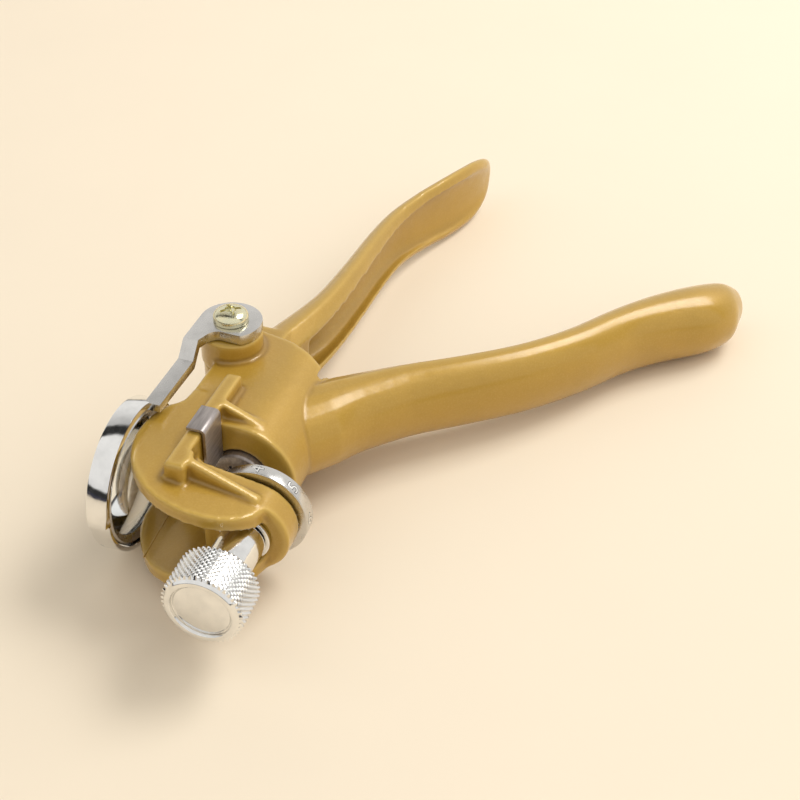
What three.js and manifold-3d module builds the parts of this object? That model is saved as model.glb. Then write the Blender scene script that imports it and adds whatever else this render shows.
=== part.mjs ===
// Pistol-grip saw set (pliers that bend the teeth of a hand saw) with a swing-out magnifier.
// Millimetres, +Z up. The tool lies on its side: the pivot screw stands along +Z at the origin,
// z = 0 is the mid-plane, the plunger slides along X, and the working end points to -X.
import * as THREE from 'three';
import { mergeVertices } from 'three/addons/utils/BufferGeometryUtils.js';
import Module from 'manifold-3d';

const wasm = await Module();
wasm.setup();

// ---------- driving dimensions ----------
const GAP = 0.3;                      // clearance between neighbouring pieces
const CHEEK_Z = 10.9;                 // half thickness of the head casting
const LEVER_Z = 8;                    // half thickness of both handles
const SLOT_Z = LEVER_Z + GAP;         // half width of the clevis slot
const PLUNGER_Y = -11.3;              // axis of the barrel, plunger and hammer
const STUD_Y = -18.6;                 // axis of the dial and the knob
const BARREL = { r: 10.9, front: -24, rear: 8, shoulder: -19.8 };
const BORE = { front: 5.5, rear: 7.6 };
const BOSS = { r: 6.2, top: 14.8, bottom: -12.2 };
const CAVITY_FRONT = -6.7;            // front wall of the lever cavity
const WING = { top: 11.2, t: 2.8, flatY: -1, slope: 0.17 };
const JAW = { front: -39, rear: -33.5, r: 8, side: -10.2 };
const DIAL = { front: -33.1, rear: -29.8, r: 9.4, bevel: 1.7, offset: 0.8 };
const REST = { y: -8.1, x0: -31.2, x1: -24.3, top: 14.8, bottom: 4.2, t: 0.6, topWidth: 3.7 };
const RIB = { y0: REST.y + REST.t + GAP, y1: -4.2, x0: -40.8, x1: -12.2, top: REST.top - REST.t - GAP };
const GUSSET = { jaw: { x: -37.8, y: -21, z: 8.2 }, barrel: { x: -20.9, y: -15.4, z: 10.2 } };
const KNOB = { front: -59.2, back: -50.2, r: 7.5, hubR: 4.2, hubEnd: -40.3, shankR: 2.5, shankEnd: -30.6 };
const SLEEVE = {
  r: 5.2, front: -25.2, rear: -7, flangeR: 7.3, flangeT: 1.5, boreR: 3.2, pocketR: 4.6, pocket: -16,
};
const HAMMER = {
  front: -24.8, rear: -1.7, halfY: 1.5, halfZ: 2.1, shank: -20.9, shankR: 2.9, headR: 4.3, head: -5.4,
};
const CROSS_PIN = { x: -18.6, r: 0.8, reach: 4.1, slotFront: -20, slotRear: -16.6 };
const GUIDE = { x: -22, r: 1.5, top: -5.6, bottom: -10.7, tipR: 0.9, tipTop: -4.6, half: 1.2 };
const NOSE = { x: 1.6, r: 3, halfZ: 4.5 };   // round nose of the lever that pushes the hammer
const PIN = { r: 2.35, top: 14.5, bottom: -13.8, tapped: 1.9 };
const ARM = { discR: 6.15, t: 2, z: 15.1, y0: 3.1, y1: 6.15, drop: 3, bendX: -8.8, stripX: -11.6 };
const HOOP = {
  x: -30.8, z: 0.2, r: 14.75, t: 1.3, y0: 5.3, width: 4.1, step: 0.6, stepTurn: 0.51, blend: 0.4,
};
const RIM = { r: HOOP.r - HOOP.t - GAP, t: 1, front: 5.5, seat: 6.7, seatR: 11.3 };
const LENS = { r: RIM.r - RIM.t - 0.35, y: 7.9, edge: 1, front: 2.9, back: 0.1 };
const SNAP = { r0: 11.2, r1: 11.9, t: 0.5, y: LENS.y + LENS.edge / 2 + 0.2 + GAP };
const SCREW = { headR: 3.5, headH: 2.5, shankR: 1.6, depth: 8 };

// ---------- small tools ----------
const TAU = 2 * Math.PI;
const V = (x, y, z = 0) => new THREE.Vector3(x, y, z);

/** Turns a closed three.js geometry into a manifold solid, right side out. */
function solid(geometry) {
  const g = geometry.clone();
  g.deleteAttribute('normal');
  g.deleteAttribute('uv');
  const m = mergeVertices(g, 1e-4);
  const numProp = 3;
  const vertProperties = new Float32Array(m.attributes.position.array);
  const triVerts = new Uint32Array(m.index.array);
  const made = new wasm.Manifold(new wasm.Mesh({ numProp, vertProperties, triVerts }));
  if (made.volume() > 0) return made;
  triVerts.reverse();
  return new wasm.Manifold(new wasm.Mesh({ numProp, vertProperties, triVerts }));
}

/** Turns a manifold solid back into a three.js geometry. */
function geometryOf(manifold) {
  const m = manifold.getMesh();
  const g = new THREE.BufferGeometry();
  g.setAttribute('position', new THREE.BufferAttribute(new Float32Array(m.vertProperties), 3));
  g.setIndex(new THREE.BufferAttribute(new Uint32Array(m.triVerts), 1));
  return g;
}

/** Plate with an outline in XY, from z0 to z1. Points are [x, y] pairs or a THREE.Shape. */
function plate(outline, z0, z1, steps = 6) {
  const shape = Array.isArray(outline) ? new THREE.Shape(outline.map(([x, y]) => new THREE.Vector2(x, y)))
    : outline;
  const g = new THREE.ExtrudeGeometry(shape, { depth: z1 - z0, bevelEnabled: false, curveSegments: steps });
  g.translate(0, 0, z0);
  return solid(g);
}

/** Prism with an outline in YZ, given as [y, z] pairs, from x0 to x1. */
function prismX(outline, x0, x1) {
  const shape = new THREE.Shape(outline.map(([y, z]) => new THREE.Vector2(y, z)));
  const g = new THREE.ExtrudeGeometry(shape, { depth: x1 - x0, bevelEnabled: false });
  g.rotateX(Math.PI / 2);
  g.rotateZ(Math.PI / 2);
  g.translate(x0, 0, 0);
  return solid(g);
}

/** Box between two corners. */
function block(a, b) {
  const g = new THREE.BoxGeometry(b[0] - a[0], b[1] - a[1], b[2] - a[2]);
  g.translate((a[0] + b[0]) / 2, (a[1] + b[1]) / 2, (a[2] + b[2]) / 2);
  return solid(g);
}

/** Lathe body from [radius, height] pairs, its axis turned to 'x', 'y' or 'z' through the point at. */
function turned(profile, axis, at = [0, 0, 0], segments = 40) {
  const g = new THREE.LatheGeometry(profile.map(([r, h]) => new THREE.Vector2(r, h)), segments);
  if (axis === 'z') g.rotateX(Math.PI / 2);
  if (axis === 'x') g.rotateZ(-Math.PI / 2);
  g.translate(...at);
  return solid(g);
}

/** Plain rod along an axis, from h0 to h1 on that axis. */
function rod(r, h0, h1, axis, at, segments) {
  return turned([[0, h0], [r, h0], [r, h1], [0, h1]], axis, at, segments);
}

/** Flat ring along an axis. */
function ring(r0, r1, h0, h1, axis, at, segments) {
  return turned([[r0, h0], [r1, h0], [r1, h1], [r0, h1], [r0, h0]], axis, at, segments);
}

/** Closed skin through a row of rings that all have the same number of points. */
function loft(rings) {
  const n = rings[0].length;
  const points = rings.flat();
  const index = [];
  for (let i = 0; i + 1 < rings.length; i += 1) {
    for (let j = 0; j < n; j += 1) {
      const a = i * n + j;
      const b = i * n + ((j + 1) % n);
      index.push(a, b, b + n, a, b + n, a + n);
    }
  }
  const last = (rings.length - 1) * n;
  for (let j = 1; j + 1 < n; j += 1) {
    index.push(0, j + 1, j);
    index.push(last, last + j, last + j + 1);
  }
  const g = new THREE.BufferGeometry();
  g.setAttribute('position', new THREE.Float32BufferAttribute(points.flatMap((p) => p.toArray()), 3));
  g.setIndex(index);
  return solid(g);
}

/** Union of several solids. */
const join = (...parts) => parts.reduce((sum, part) => sum.add(part));

const meshes = new THREE.Group();
const finishes = {
  bronze: { color: 0xb88f4b, roughness: 0.42, metalness: 0.35 },
  chrome: { color: 0xd8d8d6, roughness: 0.12, metalness: 1 },
  steel: { color: 0x8b8580, roughness: 0.4, metalness: 1 },
  zinc: { color: 0xd9cf9a, roughness: 0.25, metalness: 1 },
  spring: { color: 0x5b5d60, roughness: 0.35, metalness: 1 },
  glass: { color: 0xf4f8f8, roughness: 0.03, metalness: 0 },
};

/** Adds one named piece to the tool. */
function piece(name, manifold, finish) {
  const mesh = new THREE.Mesh(geometryOf(manifold), new THREE.MeshStandardMaterial(finishes[finish]));
  mesh.name = name;
  meshes.add(mesh);
}

// ---------- handles: a D-shaped section swept along the palm line ----------
const ARC_STEPS = 16;
const STATIONS = 34;
const RUN_OUT = 8;                      // stations over which a channel gets shallow at its far end

/** D-shaped ring: flat open side at u = 0, round back at u = depth, half height c. */
function handleRing(station, inset = 0, open = 0) {
  const { at, back, depth, c } = station;
  const points = [];
  const corner = 0.72 * c;
  const d = depth - inset;
  const h = c - inset;
  points.push([-open, -Math.max(corner - inset, 0.4)]);
  for (let i = 0; i <= ARC_STEPS; i += 1) {
    const angle = -Math.PI / 2 + (Math.PI * i) / ARC_STEPS;
    const u = 0.3 * d + 0.7 * d * Math.cos(angle) ** 0.8;
    points.push([u, h * Math.sin(angle)]);
  }
  points.push([-open, Math.max(corner - inset, 0.4)]);
  return points.map(([u, z]) => V(at.x + back.x * u, at.y + back.y * u, z));
}

/** Stations along a smooth line through the inner edge points [x, y, depth, half height]. */
function stations(rows, count, side) {
  const line = new THREE.CatmullRomCurve3(rows.map(([x, y]) => V(x, y)), false, 'centripetal');
  const sizes = new THREE.CatmullRomCurve3(rows.map(([, , d, c]) => V(d, c)), false, 'centripetal');
  const out = [];
  for (let i = 0; i <= count; i += 1) {
    const t = i / count;
    const tangent = line.getTangent(t);
    const size = sizes.getPoint(t);
    const back = V(tangent.y * side, -tangent.x * side);
    out.push({ at: line.getPoint(t), back, depth: size.x, c: size.y });
  }
  return out;
}

/** U-channel handle: outer skin less an inner channel that opens on the flat side. */
function handle(rows, side, wall, from, to) {
  const outer = stations(rows, STATIONS, side);
  const wind = (ringPoints) => (side > 0 ? ringPoints : ringPoints.slice().reverse());
  const skin = loft(outer.map((s) => wind(handleRing(s))));
  const inner = outer.slice(from, to).map((station, i) => {
    const runOut = Math.max(0, 1 - (to - from - 1 - i) / RUN_OUT);
    const shallow = 0.85 * Math.min(station.depth, station.c);
    return wind(handleRing(station, wall + (shallow - wall) * runOut ** 2, 1));
  });
  return skin.subtract(loft(inner));
}

// ---------- body casting ----------
const onBarrel = [0, PLUNGER_Y, 0];
const onStud = [0, STUD_Y, 0];
const FIXED_ROWS = [                    // inner edge x, y, depth, half height
  [-6, -10, 16, 8.4], [0.8, -17, 15, 8.3], [5.6, -23.2, 12.4, 8.1], [12, -31.6, 10.6, 8],
  [18.8, -41.8, 9.6, 8], [26.6, -51.9, 9.2, 8], [35.6, -60.4, 9.2, 8], [45.6, -67.5, 9.6, 8],
  [54.6, -74.8, 11.4, 8], [61.8, -82.3, 12.8, 7.9], [66.8, -88.2, 11.4, 6.9], [69.6, -92.4, 6, 3.6],
];
const LEVER_ROWS = [
  [6, -8.6, 10.4, 8], [12, -9.9, 10.2, 8], [20, -11.6, 9.2, 8], [30, -12.9, 7.6, 8], [45, -13.7, 6.8, 8],
  [58, -14.2, 6.4, 8], [68, -15.2, 5.8, 8.1], [78, -18, 4.8, 8.6], [88, -22.2, 4.6, 9],
  [97, -25.2, 4.2, 8.7], [104, -26.3, 3.6, 6.9], [109, -25.9, 2.8, 4.2], [111.3, -25, 2, 1.8],
];

/** Wing outline seen from above. */
const wingOutline = new THREE.Shape();
wingOutline.moveTo(-16, 1.3);
wingOutline.lineTo(-18.6, 1.4);
wingOutline.quadraticCurveTo(-20.2, 1.8, -21.4, 3.4);
wingOutline.quadraticCurveTo(-24.6, 5.6, -30, 5.7);
wingOutline.quadraticCurveTo(-37.8, 5.4, -43.6, -1.1);
wingOutline.quadraticCurveTo(-47.4, -6.2, -46.4, -13.4);
wingOutline.quadraticCurveTo(-45.6, -18.8, -41.6, -21.4);
wingOutline.lineTo(JAW.front, -22.4);
wingOutline.lineTo(JAW.front, -30);
wingOutline.lineTo(JAW.rear, -30);
wingOutline.lineTo(JAW.rear, -9.4);
wingOutline.quadraticCurveTo(JAW.rear, RIB.y0, -31.8, RIB.y0);
wingOutline.lineTo(-16, RIB.y0);

/** Half profile of wings and jaw in YZ, moved inwards by inset. */
function wingProfile(inset) {
  const r = JAW.r - inset;
  const half = [[8, WING.top - inset], [WING.flatY, WING.top - inset]];
  const steps = 10;
  const start = Math.atan(WING.slope);
  for (let i = 0; i <= steps; i += 1) {
    const a = start + ((Math.PI / 2 - start) * i) / steps;
    half.push([STUD_Y - r * Math.sin(a), r * Math.cos(a)]);
  }
  return [...half, ...half.slice(0, -1).reverse().map(([y, z]) => [y, -z])];
}

const wings = plate(wingOutline, -14, 14, 8).intersect(prismX(wingProfile(0), -52, -10));
const recess = prismX(wingProfile(WING.t), -60, JAW.front);
const window = prismX(wingProfile(WING.t), JAW.front - 1, BARREL.front)
  .intersect(block([-60, JAW.side, -20], [0, 20, 20]));

const cheekEdge = [[5, 3], [7.2, -3], [5.6, -10], [3.6, -15], [1.6, -19], [0.4, -20.8]];
const headOutline = [
  [BARREL.front, 1.3], [-5, 1.3], [0, 3], ...cheekEdge, [-1.6, -24], [BARREL.front, -24],
];
const cheekSlab = block([BARREL.front, PLUNGER_Y, -CHEEK_Z], [BARREL.rear, 4, CHEEK_Z]);
const barrel = rod(BARREL.r, BARREL.front, BARREL.rear, 'x', onBarrel, 60);
const head = join(cheekSlab, barrel)
  .intersect(plate(headOutline, -CHEEK_Z - 1, CHEEK_Z + 1))
  .add(rod(BOSS.r, BOSS.bottom, BOSS.top, 'z', [0, 0, 0], 36));

/** Ribs on one face: the long box rib, sloped at its rear end, its wide front end, and two gussets. */
function ribs() {
  const slopeCut = new THREE.BoxGeometry(12, 12, 8).rotateY(0.7).translate(-11.2, -6, 18.2);
  const base = 7;
  const rib = prismX([[RIB.y0, base], [RIB.y1, base], [RIB.y1, RIB.top], [RIB.y0, RIB.top]], RIB.x0, RIB.x1)
    .subtract(solid(slopeCut));
  const end = block([RIB.x0, REST.y, base], [REST.x0 - 4.4, RIB.y0 + 1, RIB.top]);
  const gusset = ({ x, y, z }) => {
    const side = [[RIB.y0, base], [RIB.y0, RIB.top], [y, z], [y, base]];
    return prismX(side, x - 0.9, x + 0.9);
  };
  return join(rib, end, gusset(GUSSET.jaw), gusset(GUSSET.barrel));
}

const cavityOutline = [
  [CAVITY_FRONT, 12], [CAVITY_FRONT, -16.4], [-3, -17.8], [2.6, -19.8], [6.6, -24.4], [30, -24.4], [30, 12],
];
const plungerBore = join(
  rod(BORE.front, BARREL.front - 1, BARREL.shoulder + 0.5, 'x', onBarrel, 32),
  rod(BORE.rear, BARREL.shoulder, CAVITY_FRONT + 1, 'x', onBarrel, 32),
);
const fixedHandle = handle(FIXED_ROWS, 1, 2.8, 9, 30);
const upperRibs = ribs();
const casting = join(head, wings, upperRibs, upperRibs.mirror([0, 0, 1]), fixedHandle)
  .subtract(recess)
  .subtract(window)
  .subtract(plate(cavityOutline, -SLOT_Z, SLOT_Z))
  .subtract(plungerBore)
  .subtract(rod(PIN.r + GAP, -20, 20, 'z', [0, 0, 0], 24))
  .subtract(rod(KNOB.shankR + GAP, JAW.front - 1, JAW.rear + 1, 'x', onStud, 24))
  .subtract(rod(GUIDE.r + GAP, -15, -4, 'z', [GUIDE.x, PLUNGER_Y, 0], 20));
piece('body_casting', casting, 'bronze');

// ---------- squeeze lever ----------
const leverArm = [
  [-1, -2], [NOSE.x - NOSE.r, PLUNGER_Y], [NOSE.x + NOSE.r - 0.6, PLUNGER_Y - 1.4], [12, -9.9], [13, -0.4],
  [3, 5],
];
const leverTaper = [
  [8, -LEVER_Z], [8, LEVER_Z], [-7, LEVER_Z], [-9.5, NOSE.halfZ], [-16, NOSE.halfZ],
  [-16, -NOSE.halfZ], [-9.5, -NOSE.halfZ], [-7, -LEVER_Z],
];
const leverHead = join(
  rod(5.8, -LEVER_Z, LEVER_Z, 'z', [0, 0, 0], 36),
  plate(leverArm, -LEVER_Z, LEVER_Z).intersect(prismX(leverTaper, -10, 20)),
  rod(NOSE.r, -NOSE.halfZ, NOSE.halfZ, 'z', [NOSE.x, PLUNGER_Y, 0], 24),
);
const lever = join(leverHead, handle(LEVER_ROWS, -1, 2.4, 4, 31))
  .subtract(rod(PIN.r + GAP, -20, 20, 'z', [0, 0, 0], 24));
piece('squeeze_lever', lever, 'bronze');

// ---------- pivot ----------
const pin = rod(PIN.r, PIN.bottom, PIN.top, 'z', [0, 0, 0], 24)
  .subtract(rod(PIN.tapped, PIN.top - SCREW.depth - 1, PIN.top + 1, 'z', [0, 0, 0], 20))
  .subtract(ring(1.8, 4, -13.2, -12.3, 'z', [0, 0, 0], 24));
piece('pivot_pin', pin, 'steel');
const clipGap = block([-6, -1.6, -14], [0, 1.6, -12]);
const clipRing = ring(2.1, 4, -13.1, -12.5, 'z', [0, 0, 0], 28).subtract(clipGap);
piece('pivot_circlip', clipRing, 'spring');

// ---------- plunger ----------
const sleeveBody = turned([
  [SLEEVE.boreR, SLEEVE.front], [SLEEVE.r - 0.4, SLEEVE.front], [SLEEVE.r, SLEEVE.front + 0.4],
  [SLEEVE.r, SLEEVE.rear - SLEEVE.flangeT], [SLEEVE.flangeR, SLEEVE.rear - SLEEVE.flangeT],
  [SLEEVE.flangeR, SLEEVE.rear], [SLEEVE.pocketR, SLEEVE.rear], [SLEEVE.pocketR, SLEEVE.pocket],
  [SLEEVE.boreR, SLEEVE.pocket], [SLEEVE.boreR, SLEEVE.front],
], 'x', onBarrel, 36);
const sleeveNose = rod(SLEEVE.boreR + 0.2, SLEEVE.front, SLEEVE.front + 3, 'x', onBarrel, 30)
  .subtract(block([-30, PLUNGER_Y - HAMMER.halfY - GAP, -HAMMER.halfZ - GAP],
    [0, PLUNGER_Y + HAMMER.halfY + GAP, HAMMER.halfZ + GAP]));
const groove = { x0: -24.2, x1: -16.6, floor: -4.3 };
const guideGroove = block([groove.x0, PLUNGER_Y - GUIDE.half, -SLEEVE.r - 1],
  [groove.x1, PLUNGER_Y + GUIDE.half, groove.floor]);
const crossHole = rod(CROSS_PIN.r + 0.2, -9, 9, 'z', [CROSS_PIN.x, PLUNGER_Y, 0], 16);
piece('plunger_sleeve', sleeveBody.add(sleeveNose).subtract(guideGroove).subtract(crossHole), 'steel');

const pinSlot = block([CROSS_PIN.slotFront, PLUNGER_Y - GUIDE.half, -5],
  [CROSS_PIN.slotRear, PLUNGER_Y + GUIDE.half, 5]);
const hammer = join(
  block([HAMMER.front, PLUNGER_Y - HAMMER.halfY, -HAMMER.halfZ],
    [HAMMER.shank + 0.4, PLUNGER_Y + HAMMER.halfY, HAMMER.halfZ]),
  rod(HAMMER.shankR, HAMMER.shank, HAMMER.head + 0.4, 'x', onBarrel, 28),
  rod(HAMMER.headR, HAMMER.head, HAMMER.rear, 'x', onBarrel, 32),
).subtract(pinSlot);
piece('hammer', hammer, 'steel');
const crossPin = rod(CROSS_PIN.r, -CROSS_PIN.reach, CROSS_PIN.reach, 'z', [CROSS_PIN.x, PLUNGER_Y, 0], 16);
piece('hammer_cross_pin', crossPin, 'steel');

const guideAt = [GUIDE.x, PLUNGER_Y, 0];
const driverSlot = block([GUIDE.x - 2, PLUNGER_Y - GAP, GUIDE.bottom - 1],
  [GUIDE.x + 2, PLUNGER_Y + GAP, GUIDE.bottom + 0.9]);
const guideScrew = rod(GUIDE.r, GUIDE.bottom, GUIDE.top, 'z', guideAt, 20)
  .add(rod(GUIDE.tipR, GUIDE.top - 0.4, GUIDE.tipTop, 'z', guideAt, 20))
  .subtract(driverSlot);
piece('guide_screw', guideScrew, 'steel');

/** Coil spring along X: a round wire swept along a helix of the given mean radius. */
function coil(r, wire, x0, x1, turns) {
  const steps = turns * 12;
  const points = Array.from({ length: steps + 1 }, (_, i) => {
    const a = (TAU * turns * i) / steps;
    return V(x0 + ((x1 - x0) * i) / steps, PLUNGER_Y + r * Math.cos(a), r * Math.sin(a));
  });
  const section = new THREE.Shape();
  section.absarc(0, 0, wire / 2, 0, TAU);
  return solid(new THREE.ExtrudeGeometry(section, {
    steps, curveSegments: 2, bevelEnabled: false, extrudePath: new THREE.CatmullRomCurve3(points),
  }));
}
const RETURN_SPRING = { r: 6.45, wire: 0.9, turns: 5 };
const HAMMER_SPRING = { r: 3.8, wire: 0.8, turns: 5 };
piece('return_spring', coil(RETURN_SPRING.r, RETURN_SPRING.wire, BARREL.shoulder + 0.75,
  SLEEVE.rear - SLEEVE.flangeT - 0.75, RETURN_SPRING.turns), 'spring');
piece('hammer_spring', coil(HAMMER_SPRING.r, HAMMER_SPRING.wire, SLEEVE.pocket + 0.7,
  HAMMER.head - 0.7, HAMMER_SPRING.turns), 'spring');

// ---------- anvil dial and clamp knob ----------
const dialDisc = ring(KNOB.shankR + GAP, DIAL.r, DIAL.front, DIAL.rear, 'x', onStud, 40);
const bevelCone = turned([
  [0, DIAL.front - 1], [DIAL.r + 3, DIAL.front - 1], [DIAL.r + 3, DIAL.rear - 2.2],
  [DIAL.r - DIAL.bevel, DIAL.rear + 0.01], [0, DIAL.rear + 0.01],
], 'x', [0, STUD_Y - DIAL.offset, 0], 40);
piece('anvil_dial', dialDisc.intersect(bevelCone), 'chrome');
const knob = turned([
  [0, KNOB.front + 0.5], [5.3, KNOB.front + 0.5], [5.6, KNOB.front], [6.7, KNOB.front],
  [7.2, KNOB.front + 0.5],
  [KNOB.r, KNOB.front + 1.2], [KNOB.r, KNOB.back - 0.7], [KNOB.r - 0.7, KNOB.back], [KNOB.hubR, KNOB.back],
  [KNOB.hubR, KNOB.hubEnd], [KNOB.shankR, KNOB.hubEnd], [KNOB.shankR, KNOB.shankEnd], [0, KNOB.shankEnd],
], 'x', onStud, 36);
piece('clamp_knob', knob, 'chrome');
const washer = ring(KNOB.shankR + GAP, KNOB.hubR + 0.6, KNOB.hubEnd + GAP, JAW.front - GAP, 'x', onStud, 36);
piece('knob_washer', washer, 'chrome');

// ---------- tooth rests ----------
/** Steel saddle over the rib: a top flange and a flange down the slot side with a cut lower corner. */
function toothRest() {
  const top = block([REST.x0, REST.y, REST.top - REST.t], [REST.x1, REST.y + REST.topWidth, REST.top]);
  const side = plate([
    [REST.x0, REST.top], [REST.x1, REST.top], [REST.x1, REST.bottom], [REST.x0 + 2, REST.bottom],
    [REST.x0, REST.bottom + 2.4],
  ], 0, REST.t).rotate([90, 0, 0]).translate([0, REST.y + REST.t, 0]);
  return top.add(side);
}
piece('tooth_rest_upper', toothRest(), 'steel');
piece('tooth_rest_lower', toothRest().mirror([0, 0, 1]), 'steel');

// ---------- magnifier ----------
const stripTop = ARM.z + ARM.t - ARM.drop;
const armDisc = join(
  rod(ARM.discR, ARM.z, ARM.z + ARM.t, 'z', [0, 0, 0], 44),
  plate([[ARM.bendX, ARM.y0], [-5.6, ARM.y0 - 0.4], [-5, -2], [0, 0], [0, ARM.discR], [ARM.bendX, ARM.y1]],
    ARM.z, ARM.z + ARM.t),
);
const stripSide = [
  [ARM.bendX + 0.5, ARM.z + ARM.t], [ARM.bendX, ARM.z + ARM.t], [ARM.stripX, stripTop],
  [HOOP.x + 4.6, stripTop], [HOOP.x + 4.6, stripTop - ARM.t + 0.4], [ARM.stripX + 0.5, stripTop - ARM.t],
  [ARM.bendX + 0.5, ARM.z],
];
const strip = plate(stripSide, -ARM.y1, -ARM.y0).rotate([90, 0, 0]);
const hoopAt = [HOOP.x, 0, HOOP.z];
/** Lapped strip round the lens: its radius steps down where the free end lies on the strip below. */
function hoopBand() {
  const steps = 56;
  const outline = Array.from({ length: steps + 1 }, (_, i) => {
    const turn = i / steps;
    const r = HOOP.r - HOOP.step * Math.max(0, 1 - turn / HOOP.blend);
    const a = TAU * (HOOP.stepTurn + turn);
    return new THREE.Vector2(r * Math.cos(a), r * Math.sin(a));
  });
  const shape = new THREE.Shape(outline);
  const hole = new THREE.Path();
  hole.absarc(0, 0, HOOP.r - HOOP.t, 0, TAU);
  shape.holes.push(hole);
  return plate(shape, -HOOP.y0 - HOOP.width, -HOOP.y0, 28).rotate([90, 0, 0]).translate(hoopAt);
}
piece('magnifier_arm', join(armDisc, strip, hoopBand())
  .subtract(rod(SCREW.shankR + GAP, ARM.z - 1, ARM.z + ARM.t + 1, 'z', [0, 0, 0], 24)), 'chrome');

const rimBack = HOOP.y0 + HOOP.width - 0.2;
const rim = turned([
  [RIM.r - 0.4, RIM.front], [RIM.r, RIM.front + 0.4], [RIM.r, rimBack], [RIM.r - RIM.t, rimBack],
  [RIM.r - RIM.t, RIM.seat], [RIM.seatR, RIM.seat], [RIM.seatR, RIM.seat - 0.5], [RIM.r - 0.4, RIM.front],
], 'y', hoopAt, 56);
piece('lens_rim', rim, 'chrome');

/** One crowned lens face: [radius, height] pairs from the axis outwards. */
function crown(height, sign) {
  const steps = 5;
  return Array.from({ length: steps + 1 }, (_, i) => {
    const share = i / steps;
    return [LENS.r * share, LENS.y + sign * (LENS.edge / 2 + height * (1 - share ** 2))];
  });
}
const lens = turned([...crown(LENS.front, -1), ...crown(LENS.back, 1).reverse()], 'y', hoopAt, 40);
piece('magnifier_lens', lens, 'glass');
const snapGap = block([HOOP.x - 1, SNAP.y - 1, -20], [HOOP.x + 1, SNAP.y + 2, 0]);
const snapWire = ring(SNAP.r0, SNAP.r1, SNAP.y, SNAP.y + SNAP.t, 'y', hoopAt, 40).subtract(snapGap);
piece('lens_snap_wire', snapWire, 'spring');

const headDome = [
  [0, 0], [SCREW.headR, 0], [SCREW.headR, 0.7], [3.1, 1.5], [2.3, 2.1], [1.2, 2.42], [0, SCREW.headH],
];
const screwSeat = ARM.z + ARM.t + 0.05;
const cross = join(block([-2, -0.4, 1.1], [2, 0.4, 4]), block([-0.4, -2, 1.1], [0.4, 2, 4]))
  .rotate([0, 0, 40]).translate([0, 0, screwSeat]);
const screw = join(
  turned(headDome.map(([r, h]) => [r, h + screwSeat]), 'z', [0, 0, 0], 36),
  rod(SCREW.shankR, screwSeat - SCREW.depth, screwSeat + 0.2, 'z', [0, 0, 0], 20),
).subtract(cross);
piece('magnifier_screw', screw, 'zinc');

// The origin moves from the pivot to the bottom centre of the tool's box.
const bounds = new THREE.Box3().setFromObject(meshes);
const middle = bounds.getCenter(new THREE.Vector3());
meshes.position.set(-middle.x, -middle.y, -bounds.min.z);

export default meshes;
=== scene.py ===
"""Pistol-grip saw set with a swing-out magnifier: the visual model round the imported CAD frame.

Pieces are made in millimetres about the pivot: z along the pivot screw, x along the plunger with the
knob towards -x, and y across the tool. place() turns them into metres in the row frame.
"""
import math

import bmesh
import bpy
import numpy as np
from mathutils import Matrix, Vector


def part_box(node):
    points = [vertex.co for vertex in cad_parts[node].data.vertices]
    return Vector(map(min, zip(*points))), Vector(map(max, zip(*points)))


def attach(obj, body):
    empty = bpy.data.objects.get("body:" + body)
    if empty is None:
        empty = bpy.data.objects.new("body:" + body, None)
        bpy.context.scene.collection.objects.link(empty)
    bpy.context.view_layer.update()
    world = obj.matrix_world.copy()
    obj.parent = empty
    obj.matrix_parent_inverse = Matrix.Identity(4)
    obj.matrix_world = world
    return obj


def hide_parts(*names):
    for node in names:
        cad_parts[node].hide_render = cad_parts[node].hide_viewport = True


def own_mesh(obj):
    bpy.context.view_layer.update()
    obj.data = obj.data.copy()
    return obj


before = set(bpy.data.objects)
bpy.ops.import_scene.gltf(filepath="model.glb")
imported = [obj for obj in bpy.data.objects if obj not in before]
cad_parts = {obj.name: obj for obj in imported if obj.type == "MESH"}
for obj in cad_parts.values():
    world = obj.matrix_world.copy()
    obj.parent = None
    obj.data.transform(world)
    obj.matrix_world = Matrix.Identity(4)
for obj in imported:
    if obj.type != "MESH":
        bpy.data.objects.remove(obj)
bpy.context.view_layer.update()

MM = 0.001
TAU = 2 * math.pi
PIN_TOP = 14.5                       # top of the pivot pin above the mid-plane, mm
pin_low, pin_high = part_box("pivot_pin")
PIVOT = Vector(((pin_low.x + pin_high.x) / 2, (pin_low.y + pin_high.y) / 2, pin_high.z - PIN_TOP * MM))


# ---------- boxes, meshes and modifiers ----------
def box_mm(node):
    """Corners of a CAD node in millimetres about the pivot."""
    low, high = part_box(node)
    return (low - PIVOT) / MM, (high - PIVOT) / MM


def new_object(name, mesh):
    obj = bpy.data.objects.new(name, mesh)
    bpy.context.scene.collection.objects.link(obj)
    return obj


def from_cad(node, name):
    """Copy of a CAD node's mesh, in millimetres about the pivot, with its flat faces joined up."""
    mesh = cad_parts[node].data.copy()
    mesh.transform(Matrix.Scale(1 / MM, 4) @ Matrix.Translation(-PIVOT))
    mesh.materials.clear()
    b = bmesh.new()
    b.from_mesh(mesh)
    bmesh.ops.remove_doubles(b, verts=b.verts, dist=1e-3)
    bmesh.ops.dissolve_limit(b, angle_limit=math.radians(0.6), verts=b.verts, edges=b.edges)
    b.to_mesh(mesh)
    b.free()
    return new_object(name, mesh)


def from_points(name, points, faces):
    mesh = bpy.data.meshes.new(name)
    mesh.from_pydata([tuple(p) for p in points], [], faces)
    b = bmesh.new()
    b.from_mesh(mesh)
    bmesh.ops.remove_doubles(b, verts=b.verts, dist=1e-4)
    bmesh.ops.recalc_face_normals(b, faces=b.faces)
    b.to_mesh(mesh)
    b.free()
    return new_object(name, mesh)


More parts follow.
